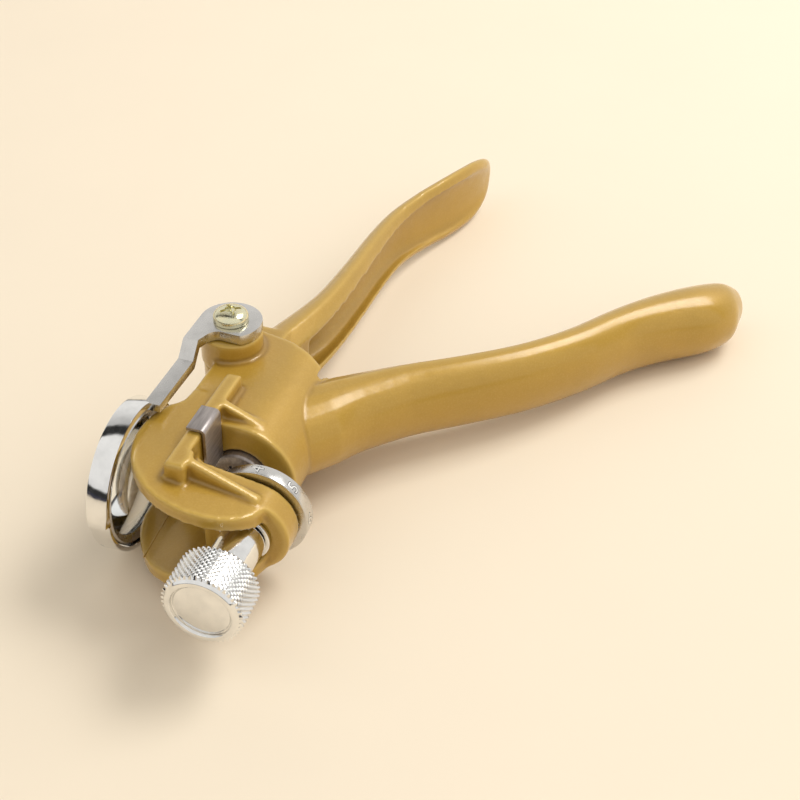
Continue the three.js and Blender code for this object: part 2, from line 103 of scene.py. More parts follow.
def settle(obj):
    """Applies the object's modifiers to its mesh."""
    graph = bpy.context.evaluated_depsgraph_get()
    mesh = bpy.data.meshes.new_from_object(obj.evaluated_get(graph))
    obj.modifiers.clear()
    obj.data = mesh
    return obj


def combine(obj, tool, operation):
    """Boolean of two closed pieces; the tool is used up."""
    modifier = obj.modifiers.new("combine", "BOOLEAN")
    modifier.operation = operation
    modifier.solver = "MANIFOLD"
    modifier.object = tool
    settle(obj)
    bpy.data.objects.remove(tool)
    return obj


def bevel(obj, width, segments=2, angle=38):
    modifier = obj.modifiers.new("bevel", "BEVEL")
    modifier.width = width
    modifier.segments = segments
    modifier.limit_method = "ANGLE"
    modifier.angle_limit = math.radians(angle)
    return settle(obj)


def smooth(obj, angle=32):
    obj.data.shade_smooth()
    obj.data.set_sharp_from_angle(angle=math.radians(angle))
    return obj


def place(obj, material):
    """Turns a piece's millimetres about the pivot into metres in the row frame, with one material."""
    obj.data.transform(Matrix.Translation(PIVOT) @ Matrix.Scale(MM, 4))
    obj.data.materials.clear()
    obj.data.materials.append(material)
    return obj


def finish_piece(obj, body, slot, material, *nodes):
    """Places a piece with one material, hands it to its body and hides the CAD nodes that it replaces; the
    slot argument is not used.
    """
    place(obj, material)
    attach(obj, body)
    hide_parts(*nodes)
    return obj


# ---------- shapes ----------
AXES = {
    "x": lambda r, a, h: (h, r * math.cos(a), r * math.sin(a)),
    "y": lambda r, a, h: (r * math.cos(a), h, r * math.sin(a)),
    "z": lambda r, a, h: (r * math.cos(a), r * math.sin(a), h),
}


def turned(name, profile, axis, at=(0, 0, 0), segments=96):
    """Lathe body from (radius, height) pairs.

    The profile starts and ends on the axis, or closes on itself and leaves a bore.
    """
    point = AXES[axis]
    hollow = profile[0] == profile[-1]
    rows = profile[:-1] if hollow else profile
    points = []
    for r, h in rows:
        points += [Vector(point(r, TAU * i / segments, h)) + Vector(at) for i in range(segments)]
    faces = []
    count = len(rows)
    for j in range(count if hollow else count - 1):
        k = (j + 1) % count
        for i in range(segments):
            n = (i + 1) % segments
            faces.append((j * segments + i, j * segments + n, k * segments + n, k * segments + i))
    return from_points(name, points, faces)


def rounded(profile, radius, steps=4):
    """Profile with every corner between its ends turned into a small arc."""
    out = [profile[0]]
    for before, corner, after in zip(profile, profile[1:], profile[2:]):
        c = Vector(corner)
        a = Vector(before) - c
        b = Vector(after) - c
        cut = min(radius, a.length * 0.45, b.length * 0.45)
        if cut < 1e-4 or a.angle(b) > math.radians(172):
            out.append(corner)
            continue
        p, q = c + a.normalized() * cut, c + b.normalized() * cut
        for i in range(steps + 1):
            t = i / steps
            out.append(tuple(p * (1 - t) ** 2 + c * 2 * t * (1 - t) + q * t * t))
    return out + [profile[-1]]


def plate(name, outline, z0, z1):
    """Flat plate with an outline in XY."""
    n = len(outline)
    points = [(x, y, z0) for x, y in outline] + [(x, y, z1) for x, y in outline]
    faces = [tuple(range(n))[::-1], tuple(range(n, 2 * n))]
    faces += [(i, (i + 1) % n, n + (i + 1) % n, n + i) for i in range(n)]
    return from_points(name, points, faces)


def prism(name, near, far):
    """Solid between two matching loops of points."""
    n = len(near)
    faces = [tuple(range(n)), tuple(range(n, 2 * n))[::-1]]
    faces += [(i, (i + 1) % n, n + (i + 1) % n, n + i) for i in range(n)]
    return from_points(name, near + far, faces)


def block(name, low, high):
    return plate(name, [(low[0], low[1]), (high[0], low[1]), (high[0], high[1]), (low[0], high[1])],
                 low[2], high[2])


def tube(name, path, radius, sides=12):
    """Round wire along a path, closed at both ends."""
    points, faces = [], []
    side = None
    for i, p in enumerate(path):
        tangent = (path[min(i + 1, len(path) - 1)] - path[max(i - 1, 0)]).normalized()
        if side is None:
            side = tangent.orthogonal().normalized()
        side = (side - tangent * side.dot(tangent)).normalized()
        up = tangent.cross(side)
        for j in range(sides):
            a = TAU * j / sides
            points.append(p + (side * math.cos(a) + up * math.sin(a)) * radius)
    for i in range(len(path) - 1):
        for j in range(sides):
            k = (j + 1) % sides
            faces.append((i * sides + j, i * sides + k, (i + 1) * sides + k, (i + 1) * sides + j))
    last = (len(path) - 1) * sides
    faces += [tuple(range(sides))[::-1], tuple(range(last, last + sides))]
    return from_points(name, points, faces)


# ---------- materials ----------
def add_node(tree, kind, **inputs):
    made = tree.nodes.new(kind)
    for key, value in inputs.items():
        made.inputs[key.replace("_", " ")].default_value = value
    return made


def shader(name, color, metallic, roughness, **extra):
    material = bpy.data.materials.new(name)
    material.use_nodes = True
    tree = material.node_tree
    surface = tree.nodes["Principled BSDF"]
    surface.inputs["Base Color"].default_value = (*color, 1)
    surface.inputs["Metallic"].default_value = metallic
    surface.inputs["Roughness"].default_value = roughness
    for key, value in extra.items():
        surface.inputs[key.replace("_", " ")].default_value = value
    return material, tree, surface


def noise(tree, scale, detail=3.0, rough=0.55, stretch=(1, 1, 1)):
    """Noise in object space, with its scale in features per millimetre."""
    coords = tree.nodes.new("ShaderNodeTexCoord")
    mapping = tree.nodes.new("ShaderNodeMapping")
    mapping.inputs["Scale"].default_value = [s / MM for s in stretch]
    texture = add_node(tree, "ShaderNodeTexNoise", Scale=scale, Detail=detail, Roughness=rough)
    tree.links.new(coords.outputs["Object"], mapping.inputs["Vector"])
    tree.links.new(mapping.outputs["Vector"], texture.inputs["Vector"])
    return texture.outputs["Fac"]


def remap(tree, value, low, high, to_low, to_high):
    made = tree.nodes.new("ShaderNodeMapRange")
    for key, number in (("From Min", low), ("From Max", high), ("To Min", to_low), ("To Max", to_high)):
        made.inputs[key].default_value = number
    tree.links.new(value, made.inputs["Value"])
    return made.outputs["Result"]


def mix(tree, factor, a, b):
    made = tree.nodes.new("ShaderNodeMix")
    made.data_type = "RGBA"
    tree.links.new(factor, made.inputs[0])
    for value, socket in ((a, made.inputs[6]), (b, made.inputs[7])):
        if isinstance(value, tuple):
            socket.default_value = (*value, 1)
        else:
            tree.links.new(value, socket)
    return made.outputs[2]


def bump(tree, surface, layers):
    """Stacked bump layers, each a height and a depth in millimetres."""
    normal = None
    for height, depth in layers:
        made = add_node(tree, "ShaderNodeBump", Strength=1.0, Distance=depth * MM)
        tree.links.new(height, made.inputs["Height"])
        if normal is not None:
            tree.links.new(normal, made.inputs["Normal"])
        normal = made.outputs["Normal"]
    tree.links.new(normal, surface.inputs["Normal"])


def bronze_paint():
    """Satin gold-bronze paint on a die casting: fine grain, edges paler as partly wear and partly painted
    highlight, corners darker as painted shade.
    """
    # pale lightens the random grain and the edges (partly wear, partly painted highlight); the third colour
    # is painted shade for the corners
    base, pale, corner_shade_color = (0.45, 0.262, 0.03), (0.58, 0.38, 0.08), (0.22, 0.11, 0.01)
    material, tree, surface = shader("bronze_paint", base, 0.2, 0.42, Specular_IOR_Level=0.25,
                                     Coat_Weight=0.9, Coat_IOR=1.5, Coat_Roughness=0.2)
    cloud = remap(tree, noise(tree, 0.11, 4), 0.35, 0.7, 0, 0.5)
    grain = remap(tree, noise(tree, 2.6, 2), 0.45, 0.75, 0, 0.22)
    shape = tree.nodes.new("ShaderNodeAttribute")
    shape.attribute_name = "shape"
    # edge: convex edges turn paler, partly wear and partly painted highlight
    edge = remap(tree, shape.outputs["Fac"], 0.12, 0.7, 0, 0.55)
    # corner: concave corners turn darker, painted shade
    corner = remap(tree, shape.outputs["Fac"], -0.08, -0.6, 0, 0.6)
    color = mix(tree, cloud, base, tuple(c * 0.86 for c in base))
    color = mix(tree, grain, color, pale)
    # painted shade in the corners
    color = mix(tree, corner, color, corner_shade_color)
    # paler edges, partly wear and partly painted highlight
    color = mix(tree, edge, color, pale)
    tree.links.new(color, surface.inputs["Base Color"])
    tree.links.new(remap(tree, noise(tree, 0.5, 3), 0.3, 0.7, 0.38, 0.5), surface.inputs["Roughness"])
    bump(tree, surface, [(noise(tree, 0.35, 2), 0.12), (noise(tree, 2.2, 2), 0.02),
                         (noise(tree, 6, 1), 0.006)])
    return material


def polished(name, color, rough, wave, scratch):
    """Bright metal: slight waves, fine scratches and uneven gloss."""
    material, tree, surface = shader(name, color, 1.0, sum(rough) / 2)
    tree.links.new(remap(tree, noise(tree, 0.9, 4), 0.3, 0.7, *rough), surface.inputs["Roughness"])
    dull = tuple(c * 0.82 for c in color)
    tree.links.new(mix(tree, remap(tree, noise(tree, 0.3, 3), 0.4, 0.7, 0, 0.6), color, dull),
                   surface.inputs["Base Color"])
    bump(tree, surface, [(noise(tree, 0.45, 1), wave), (noise(tree, 3.5, 3), scratch)])
    return material


def ground_steel():
    """Plain steel sheet with a ground grain along X and a faint warm tint."""
    material, tree, surface = shader("ground_steel", (0.40, 0.36, 0.34), 0.9, 0.45)
    streak = noise(tree, 1.6, 4, 0.6, (0.12, 1, 1))
    tone = remap(tree, streak, 0.35, 0.7, 0, 1)
    tree.links.new(mix(tree, tone, (0.46, 0.41, 0.385), (0.30, 0.27, 0.255)), surface.inputs["Base Color"])
    tree.links.new(remap(tree, streak, 0.3, 0.7, 0.36, 0.52), surface.inputs["Roughness"])
    bump(tree, surface, [(streak, 0.02), (noise(tree, 5, 2), 0.008)])
    return material


def yellow_zinc():
    """Yellow-passivated plating, its tint drifting from straw to pale green."""
    material, tree, surface = shader("yellow_zinc", (0.78, 0.72, 0.46), 1.0, 0.2)
    drift = remap(tree, noise(tree, 0.6, 2), 0.35, 0.65, 0, 1)
    tree.links.new(mix(tree, drift, (0.83, 0.76, 0.50), (0.74, 0.72, 0.52)), surface.inputs["Base Color"])
    tree.links.new(remap(tree, noise(tree, 2.5, 3), 0.3, 0.7, 0.14, 0.3), surface.inputs["Roughness"])
    bump(tree, surface, [(noise(tree, 3, 2), 0.02)])
    return material


def spring_wire():
    material, tree, surface = shader("spring_wire", (0.16, 0.165, 0.17), 1.0, 0.35)
    tree.links.new(remap(tree, noise(tree, 1.5, 3), 0.3, 0.7, 0.25, 0.45), surface.inputs["Roughness"])
    bump(tree, surface, [(noise(tree, 4, 2), 0.01)])
    return material


def lens_glass():
    """Clear glass with a faint cool tint and traces of handling."""
    material, tree, surface = shader("lens_glass", (0.97, 0.99, 0.985), 0.0, 0.02, IOR=1.5,
                                     Transmission_Weight=1.0)
    tree.links.new(remap(tree, noise(tree, 0.4, 4), 0.45, 0.8, 0.01, 0.06), surface.inputs["Roughness"])
    return material


def number_outline_dark():
    """Dark material of the thin outline round each number."""
    material, tree, surface = shader("number_outline_dark", (0.03, 0.03, 0.035), 0.3, 0.5)
    tree.links.new(remap(tree, noise(tree, 3, 3), 0.3, 0.7, 0.4, 0.65), surface.inputs["Roughness"])
    return material


PAINT = bronze_paint()
CHROME = polished("chrome", (0.86, 0.855, 0.84), (0.05, 0.13), 0.03, 0.003)
NICKEL = polished("worn_nickel", (0.66, 0.645, 0.62), (0.18, 0.3), 0.008, 0.003)
STEEL = ground_steel()
ZINC = yellow_zinc()
WIRE = spring_wire()
GLASS = lens_glass()
DARK_OUTLINE = number_outline_dark()
FROST = polished("stamped_metal", (0.92, 0.91, 0.88), (0.35, 0.5), 0.002, 0.002)


# ---------- cast and painted bodies ----------
VOXEL = 0.34                         # mm
HANDLE_X = 10                        # past this x the surface is a plain swept handle
HANDLE_RUN = 45                      # mm over which the handle's extra smoothing grows to its full strength
CAST_ROUNDS, HANDLE_ROUNDS = 4, 60   # rounds of smoothing everywhere, and in all on the handles
SHAPE_ROUNDS = 4                     # rounds that spread the curvature
BEND_SCALE = 0.18                    # turns the neighbours' offset, in voxels squared, into about 1/mm


def soften(obj):
    """Rounds a remeshed casting like paint over cast metal: lightly at the head, more on the handles.

    The curvature that is left goes into the attribute "shape": above 0 on edges, below 0 in corners. The
    paint turns it into paler edges, partly wear and partly painted highlight, and into painted shade in
    corners.
    """
    mesh = obj.data
    count = len(mesh.vertices)
    co = np.zeros(count * 3)
    mesh.vertices.foreach_get("co", co)
    co = co.reshape(-1, 3)
    ends = np.zeros(len(mesh.edges) * 2, int)
    mesh.edges.foreach_get("vertices", ends)
    a, b = ends.reshape(-1, 2).T
    share = 1 / np.maximum(np.bincount(np.concatenate([a, b]), minlength=count), 1)

    def average(values):
        total = np.bincount(a, values[b], count) + np.bincount(b, values[a], count)
        return total * share

    far = np.clip((co[:, 0] - HANDLE_X) / HANDLE_RUN, 0, 1)
    for step in range(HANDLE_ROUNDS):
        weight = 0.5 if step < CAST_ROUNDS else 0.5 * far
        for axis in range(3):
            co[:, axis] += weight * (average(co[:, axis]) - co[:, axis])
    mesh.vertices.foreach_set("co", co.ravel())
    mesh.update()
    normal = np.zeros(count * 3)
    mesh.vertex_normals.foreach_get("vector", normal)
    normal = normal.reshape(-1, 3)
    lag = np.stack([average(co[:, axis]) for axis in range(3)], 1) - co
    bend = -(lag * normal).sum(1) / (BEND_SCALE * VOXEL ** 2)
    for _ in range(SHAPE_ROUNDS):
        bend = average(bend)
    shape = mesh.attributes.new("shape", "FLOAT", "POINT")
    shape.data.foreach_set("value", np.clip(bend, -1, 1).astype(np.float32))


def casting(node_name, name, body):
    """Painted casting: the CAD solid as one voxel skin, softened."""
    obj = from_cad(node_name, name)
    remesh = obj.modifiers.new("skin", "REMESH")
    remesh.mode = "VOXEL"
    remesh.voxel_size = VOXEL
    settle(obj)
    soften(obj)
    obj.data.shade_smooth()
    return finish_piece(obj, body, "bronze_paint", PAINT, node_name)


casting("body_casting", "painted_casting", "frame")
casting("squeeze_lever", "painted_lever", "lever")

# ---------- parting line inside the lower wing ----------
LINE = {"x": -27.5, "y": 1.3, "z": -8.42, "step": 1.5, "drift": 0.08, "points": 11, "radius": 0.16}
line_path = [Vector((LINE["x"] - LINE["step"] * i, LINE["y"] - LINE["drift"] * i, LINE["z"]))
             for i in range(LINE["points"])]
line = place(tube("parting_line", line_path, LINE["radius"], 8), PAINT)
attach(smooth(line, 60), "frame")

# ---------- clamp knob ----------
knob_low, knob_high = box_mm("clamp_knob")
STUD_Y = (knob_low.y + knob_high.y) / 2
KNOB_FRONT = knob_low.x
SHANK_END = knob_high.x
KNOB_R, NECK_R, SHANK_R = 7.5, 4.2, 2.5
HEAD_LENGTH, NECK_END = 9.0, 18.9    # behind the knob's face, mm
DISH_R, DISH_DEPTH = 5.5, 0.85
BORE_R = 2.8                         # bore of the dial and of the neck's collar
KNURL = {"starts": 44, "rows": 7, "pitch": 1.06, "depth": 0.5, "flat": 0.11, "from": 0.85,
         "run_out": 0.24, "foot": 0.12}


def lathe_rows(rows, around):
    """Rings of points about the stud axis, one ring for each (radius, distance behind the face)."""
    return [(KNOB_FRONT + x, STUD_Y + r * math.cos(TAU * i / around), r * math.sin(TAU * i / around))
            for r, x in rows for i in range(around)]


def joined_rows(rings, around):
    """Faces between neighbouring rings of lathe_rows()."""
    return [(j * around + i, j * around + (i + 1) % around, (j + 1) * around + (i + 1) % around,
             (j + 1) * around + i)
            for j in range(rings - 1) for i in range(around)]


def knurl_band():
    """Four-sided pyramids with a small flat top between two families of crossing grooves."""
    valley, top, flat = KNOB_R - KNURL["depth"], KNOB_R, KNURL["flat"]
    points, faces = [], []

    def corner(u, v, r):
        a = TAU * u / KNURL["starts"]
        points.append((KNOB_FRONT + KNURL["from"] + v * KNURL["pitch"],
                       STUD_Y + r * math.cos(a), r * math.sin(a)))
        return len(points) - 1

    for row in range(2 * KNURL["rows"] + 1):
        for k in range(KNURL["starts"]):
            u, v = k + (0.5 if row % 2 == 0 else 0), row / 2
            ends = (row == 0, row == 2 * KNURL["rows"])
            west, east = corner(u - 0.5, v, valley), corner(u + 0.5, v, valley)
            if not any(ends):
                south, north = corner(u, v - 0.5, valley), corner(u, v + 0.5, valley)
                w, e, s, n = (corner(u - flat, v, top), corner(u + flat, v, top), corner(u, v - flat, top),
                              corner(u, v + flat, top))
                faces += [(w, s, e, n), (west, south, s, w), (south, east, e, s), (east, north, n, e),
                          (north, west, w, n)]
                continue
            tip = corner(u, v + (0.5 if ends[0] else -0.5), valley)
            w, e, t = (corner(u - flat, v, top), corner(u + flat, v, top),
                       corner(u, v + (flat if ends[0] else -flat), top))
            out = -KNURL["run_out"] if ends[0] else KNURL["run_out"]
            low = [corner(at, v + out, valley - KNURL["foot"])
                   for at in (u - 0.5, u - flat, u + flat, u + 0.5)]
            faces += [(w, e, t), (west, w, t, tip), (e, east, tip, t), (low[0], low[1], w, west),
                      (low[1], low[2], e, w), (low[2], low[3], east, e)]
    return points, faces


def clamp_knob():
    """Head with a diamond knurl, a face dished inside a bright ring, and a smooth neck."""
    around = 176
    edge = KNOB_R - KNURL["depth"] - KNURL["foot"]
    start = KNURL["from"] - KNURL["run_out"] * KNURL["pitch"]
    stop = KNURL["from"] + (KNURL["rows"] + KNURL["run_out"]) * KNURL["pitch"]
    end = SHANK_END - KNOB_FRONT
    face = rounded([(0, 0.55), (5.15, 0.62), (5.3, DISH_DEPTH), (DISH_R, DISH_DEPTH), (5.62, 0), (6.5, 0),
                    (edge + 0.1, start)], 0.16)[:-1] + [(edge, start)]
    back = [(edge, stop)] + rounded([
        (edge, stop), (6.6, HEAD_LENGTH), (4.3, HEAD_LENGTH), (NECK_R, 9.2), (NECK_R, 18.7), (4.0, NECK_END),
        (SHANK_R, NECK_END), (SHANK_R, end - 0.4), (2.1, end), (0, end)], 0.14)[1:]
    body = from_points("knurled_knob", lathe_rows(face + back, around),
                       joined_rows(len(face) + len(back), around))
    smooth(body, 30)
    band = from_points("knurl_band", *knurl_band())
    smooth(band, 14)
    with bpy.context.temp_override(active_object=body, selected_editable_objects=[body, band]):
        bpy.ops.object.join()
    return body


finish_piece(clamp_knob(), "knob", "chrome", CHROME, "clamp_knob")

washer_low, washer_high = box_mm("knob_washer")
washer_r = (washer_high.y - washer_low.y) / 2
washer = turned("neck_collar", rounded([
    (BORE_R, washer_low.x), (washer_r, washer_low.x), (washer_r, washer_high.x), (BORE_R, washer_high.x),
    (BORE_R, washer_low.x)], 0.2), "x", (0, STUD_Y, 0))
finish_piece(smooth(washer), "knob", "chrome", CHROME, "knob_washer")

# ---------- anvil dial ----------
dial_low, dial_high = box_mm("anvil_dial")
DIAL_R = (dial_high.y - dial_low.y) / 2
BEVEL = {"depth": 2.2, "width": 1.7, "offset": 0.8}


def anvil_dial():
    """Disc whose working bevel runs off centre, so that its width changes round the rim."""
    disc = turned("numbered_dial", rounded([
        (BORE_R, dial_low.x), (DIAL_R, dial_low.x), (DIAL_R, dial_high.x), (BORE_R, dial_high.x),
        (BORE_R, dial_low.x)], 0.22), "x", (0, STUD_Y, 0), 144)
    cone = turned("cone", [
        (0, dial_low.x - 1), (DIAL_R + 3, dial_low.x - 1), (DIAL_R + 3, dial_high.x - BEVEL["depth"]),
        (DIAL_R - BEVEL["width"], dial_high.x + 0.01), (0, dial_high.x + 0.01)],
        "x", (0, STUD_Y - BEVEL["offset"], 0), 144)
    combine(disc, cone, "INTERSECT")
    return smooth(bevel(disc, 0.06, 2, 15), 24)


finish_piece(anvil_dial(), "dial", "chrome", NICKEL, "anvil_dial")

# ---------- magnifier: strip, hoop, rim, lens ----------
rim_low, rim_high = box_mm("lens_rim")
HOOP = {"x": -30.8, "z": 0.2, "r": 14.75, "t": 1.3, "y0": 5.3, "width": 4.1}
LAP = {"start": 0.51, "turn": 0.4, "depth": 0.6, "tongue": 0.45}
ARM_TOP = box_mm("magnifier_arm")[1].z
DISC_R, DISC_T = 6.15, 2.0
HOLE_R = 1.9
STRIP = {"side": 3.1, "drop": 3.0, "end": -26.2, "t": 1.6}


def arc(cx, cy, r, start, stop, steps):
    """Points on an arc between two angles in degrees."""
    angles = [math.radians(start + (stop - start) * i / steps) for i in range(steps + 1)]
    return [(cx + r * math.cos(a), cy + r * math.sin(a)) for a in angles]


def magnifier_strip():
    """Disc end and cranked strip of one bent bar."""
    outline = arc(0, 0, DISC_R, 90, -141, 64) + arc(-7.1, -0.1, 2.6, 10, 78, 8)
    outline += [(-8.4, STRIP["side"]), (-8.4, DISC_R)]
    disc = plate("disc", outline, ARM_TOP - DISC_T, ARM_TOP)
    crank = ARM_TOP - STRIP["drop"]
    side = [(-8.0, ARM_TOP), (-8.8, ARM_TOP), (-11.6, crank), (STRIP["end"], crank),
            (STRIP["end"], crank - STRIP["t"]), (-11.1, crank - DISC_T), (-8.3, ARM_TOP - DISC_T),
            (-8.0, ARM_TOP - DISC_T)]
    strip = prism("strip", [(x, STRIP["side"], z) for x, z in side], [(x, DISC_R, z) for x, z in side])
    return combine(disc, strip, "UNION")


def hoop_band():
    """Band round the lens: it starts thin, and its free end makes a step and is a little narrower."""
    steps, chamfer, inner_edge, outer_edge = 200, 0.06, 0.12, 0.22
    y0, y1 = HOOP["y0"], HOOP["y0"] + HOOP["width"]
    inner = HOOP["r"] - HOOP["t"]
    points, faces = [], []
    for i in range(steps + 1):
        turn = i / steps
        outer = HOOP["r"] - LAP["depth"] * max(0, 1 - turn / LAP["turn"])
        a = TAU * (LAP["start"] + turn)
        low = y0 + LAP["tongue"] * max(0, (turn - 0.97) / 0.03)
        section = [(inner, y0 + inner_edge), (inner + inner_edge, y0), (outer - outer_edge, low),
                   (outer - chamfer, low + chamfer), (outer, low + outer_edge), (outer, y1 - outer_edge),
                   (outer - chamfer, y1 - chamfer), (outer - outer_edge, y1), (inner + inner_edge, y1),
                   (inner, y1 - inner_edge)]
        points += [(HOOP["x"] + r * math.cos(a), y, HOOP["z"] + r * math.sin(a)) for r, y in section]
    n = len(section)
    for i in range(steps):
        for j in range(n):
            k = (j + 1) % n
            faces.append((i * n + j, i * n + k, (i + 1) * n + k, (i + 1) * n + j))
    faces += [tuple(range(n)), tuple(range(steps * n, steps * n + n))[::-1]]
    return from_points("hoop", points, faces)


hole = turned("hole", [(0, ARM_TOP - 5), (HOLE_R, ARM_TOP - 5), (HOLE_R, ARM_TOP + 2), (0, ARM_TOP + 2)], "z")
arm = combine(magnifier_strip(), hole, "DIFFERENCE")
arm = bevel(arm, 0.22, 3, 20)
hoop = hoop_band()
finish_piece(smooth(arm, 28), "magnifier", "chrome", NICKEL, "magnifier_arm")
finish_piece(smooth(hoop, 28), "magnifier", "chrome", CHROME, "magnifier_arm")

hoop_at = (HOOP["x"], 0, HOOP["z"])
RIM_R = (rim_high.x - rim_low.x) / 2
LIP = {"width": 1.85, "front": 6.2, "back": 6.7}
rim = turned("rim_ring", rounded([
    (RIM_R - 0.5, rim_low.y), (RIM_R, rim_low.y + 0.4), (RIM_R, rim_high.y), (RIM_R - 1, rim_high.y),
    (RIM_R - 1, LIP["back"]), (RIM_R - LIP["width"], LIP["back"]), (RIM_R - LIP["width"], LIP["front"]),
    (RIM_R - 0.5, rim_low.y)], 0.12), "y", hoop_at, 128)
finish_piece(smooth(rim), "magnifier", "chrome", NICKEL, "lens_rim")

lens_low, lens_high = box_mm("magnifier_lens")
LENS_R = (lens_high.x - lens_low.x) / 2


def lens():
    """Strongly crowned in front, nearly flat behind, with a short cylindrical edge."""
    front, back = lens_low.y, lens_high.y
    rim_front, rim_back = back - 1.1, back - 0.1
    rows = [(LENS_R * i / 20, front + (rim_front - front) * (i / 20) ** 2) for i in range(20)]
    rows += [(LENS_R - 0.12, rim_front - 0.03), (LENS_R, rim_front + 0.15), (LENS_R, rim_back - 0.1)]
    rows += [(LENS_R * (1 - i / 16), back - 0.1 * (1 - i / 16) ** 2) for i in range(17)]
    return smooth(turned("glass_lens", rows, "y", hoop_at, 112), 40)


finish_piece(lens(), "magnifier", "glass", GLASS, "magnifier_lens")

snap_low, snap_high = box_mm("lens_snap_wire")
SNAP_WIRE_R, SNAP_GAP = 0.25, 0.2    # mm, and radians between the wire's ends
snap_r = (snap_high.x - snap_low.x) / 2 - 0.27
snap_y = (snap_low.y + snap_high.y) / 2
snap_path = [Vector((HOOP["x"] + snap_r * math.sin(a), snap_y, HOOP["z"] - snap_r * math.cos(a)))
             for a in [SNAP_GAP / 2 + (TAU - SNAP_GAP) * i / 120 for i in range(121)]]
finish_piece(smooth(tube("snap_ring", snap_path, SNAP_WIRE_R), 50), "magnifier", "spring_steel", WIRE,
             "lens_snap_wire")

# ---------- pivot screw, pin and circlip ----------
SCREW_END = box_mm("magnifier_screw")[0].z
SEAT = ARM_TOP + 0.05
HEAD_R, HEAD_EDGE, HEAD_DOME = 3.5, 0.75, 1.75
THREAD_R = 1.6
RECESS = {"turn": 38, "reach": 2.1, "half": 0.36, "floor": 1.15}


def pan_screw():
    """Domed head with a cross recess, on a plain shank."""
    dome = [(0, SEAT), (3.35, SEAT), (HEAD_R, SEAT + 0.12), (HEAD_R, SEAT + HEAD_EDGE)]
    dome += [(HEAD_R * math.cos(a) ** 0.9, SEAT + HEAD_EDGE + HEAD_DOME * math.sin(a) ** 0.92)
             for a in [math.radians(90 * i / 14) for i in range(1, 14)]]
    dome += [(0, SEAT + HEAD_EDGE + HEAD_DOME)]
    head = turned("pan_screw", dome, "z", (0, 0, 0), 72)
    shank = turned("shank", [
        (0, SCREW_END), (1.4, SCREW_END), (THREAD_R, SCREW_END + 0.3), (THREAD_R, SEAT + 0.3),
        (0, SEAT + 0.3)], "z", (0, 0, 0), 40)
    combine(head, shank, "UNION")
    turn = Matrix.Rotation(math.radians(RECESS["turn"]), 4, "Z")
    for x, y in ((RECESS["reach"], RECESS["half"]), (RECESS["half"], RECESS["reach"])):
        slot = block("slot", (-x, -y, SEAT + RECESS["floor"]), (x, y, SEAT + 4))
        slot.data.transform(turn)
        combine(head, slot, "DIFFERENCE")
    point = turned("point", [(0, SEAT + 0.6), (1.15, SEAT + 1.9), (1.15, SEAT + 4), (0, SEAT + 4)], "z",
                   (0, 0, 0), 24)
    combine(head, point, "DIFFERENCE")
    return smooth(bevel(head, 0.07, 2, 40), 36)


finish_piece(pan_screw(), "frame", "yellow_zinc", ZINC, "magnifier_screw")

PIN_R, TAPPED_R, TAPPED_DEPTH = 2.35, 1.9, 9
GROOVE = {"r": 1.8, "low": -13.2, "high": -12.3}
pin_base = box_mm("pivot_pin")[0].z
pin = turned("turned_pin", [
    (0, pin_base), (2.05, pin_base), (PIN_R, pin_base + 0.25), (PIN_R, GROOVE["low"]),
    (GROOVE["r"], GROOVE["low"]), (GROOVE["r"], GROOVE["high"]), (PIN_R, GROOVE["high"]),
    (PIN_R, PIN_TOP - 0.2), (2.2, PIN_TOP), (TAPPED_R, PIN_TOP), (TAPPED_R, PIN_TOP - TAPPED_DEPTH),
    (0, PIN_TOP - TAPPED_DEPTH)], "z", (0, 0, 0), 64)
finish_piece(smooth(pin), "frame", "steel", STEEL, "pivot_pin")
finish_piece(smooth(bevel(from_cad("pivot_circlip", "circlip"), 0.08, 2)), "frame", "spring_steel", WIRE,
             "pivot_circlip")

# ---------- plunger ----------
for node_name, name, body, width, material, slot_name in (
    ("plunger_sleeve", "blade_sleeve", "plunger", 0.14, STEEL, "steel"),
    ("hammer", "tooth_hammer", "hammer", 0.1, STEEL, "steel"),
    ("hammer_cross_pin", "cross_pin", "plunger", 0.1, STEEL, "steel"),
    ("guide_screw", "grub_screw", "frame", 0.1, STEEL, "steel"),
):
    made = smooth(bevel(from_cad(node_name, name), width, 2))
    finish_piece(made, body, slot_name, material, node_name)


def coil(name, node_name, wire, turns):
    """Compression spring of even pitch that fills its CAD node's box."""
    low, high = box_mm(node_name)
    r = (high.z - low.z) / 2 - wire / 2
    y = (low.y + high.y) / 2
    length = high.x - low.x - wire
    steps = turns * 40
    path = []
    for i in range(steps + 1):
        t = i / steps
        a = TAU * turns * t
        path.append(Vector((low.x + wire / 2 + length * t, y + r * math.cos(a), r * math.sin(a))))
    return smooth(tube(name, path, wire / 2, 12), 60)


RETURN_COIL = coil("return_coil", "return_spring", 0.9, 5)
finish_piece(RETURN_COIL, "frame", "spring_steel", WIRE, "return_spring")
HAMMER_COIL = coil("hammer_coil", "hammer_spring", 0.8, 5)
finish_piece(HAMMER_COIL, "plunger", "spring_steel", WIRE, "hammer_spring")
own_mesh(RETURN_COIL)
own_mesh(HAMMER_COIL)


